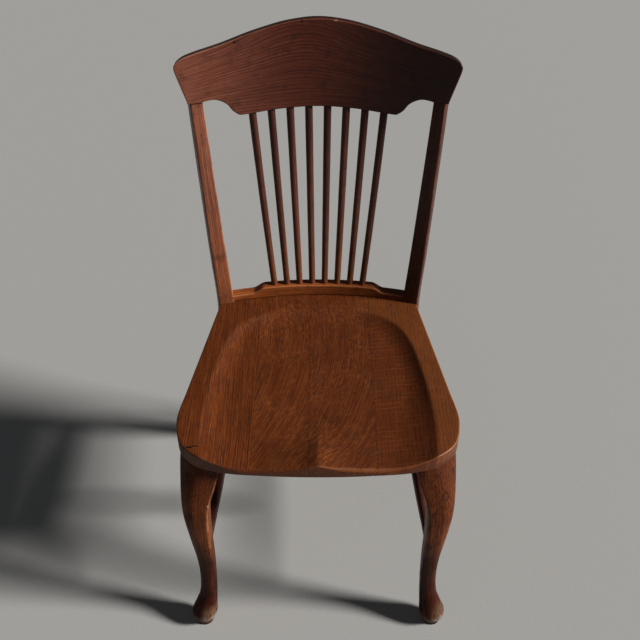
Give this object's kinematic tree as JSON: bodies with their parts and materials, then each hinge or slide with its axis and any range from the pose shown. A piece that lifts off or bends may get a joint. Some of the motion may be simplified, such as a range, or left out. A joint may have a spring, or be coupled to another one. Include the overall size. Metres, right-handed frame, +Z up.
{
  "type": "side chair",
  "caption": "Wooden side chair with a saddle seat, curved crest rail, fanned spindle back, cabriole front legs and turned stretchers.",
  "frame": {"origin": "on the floor, under the middle of the chair's outer box", "axes": "+Z up, the front of the seat towards -Y, +X towards the sitter's left"},
  "size_m": [0.456, 0.555, 0.8993],
  "materials": {
    "seat_wood": "oiled and worn varnish over stained oak",
    "leg_wood": "oiled and worn varnish over stained oak",
    "post_wood": "oiled and worn varnish over stained oak",
    "stretcher_wood": "oiled and worn varnish over stained oak",
    "crest_wood": "oiled and worn varnish over stained oak",
    "rail_wood": "oiled and worn varnish over stained oak",
    "spindle_wood": "oiled and worn varnish over stained oak",
    "steel": "aged bright steel"
  },
  "bodies": {
    "root": {"seat_board_right_outer": "seat_wood", "seat_board_right_inner": "seat_wood", "seat_board_left_inner": "seat_wood", "seat_board_left_outer": "seat_wood", "front_leg_left": "leg_wood", "front_leg_right": "leg_wood", "rear_post_left": "post_wood", "rear_post_right": "post_wood", "side_stretcher_left": "stretcher_wood", "side_stretcher_right": "stretcher_wood", "cross_stretcher": "stretcher_wood", "rear_stretcher": "stretcher_wood", "crest_rail": "crest_wood", "spindle_rail": "rail_wood", "spindle_1": "spindle_wood", "spindle_2": "spindle_wood", "spindle_3": "spindle_wood", "spindle_4": "spindle_wood", "spindle_5": "spindle_wood", "spindle_6": "spindle_wood", "spindle_7": "spindle_wood", "spindle_8": "spindle_wood", "rail_screws": "steel", "post_screws": "steel", "crest_pins": "steel"}
  },
  "joints": []
}
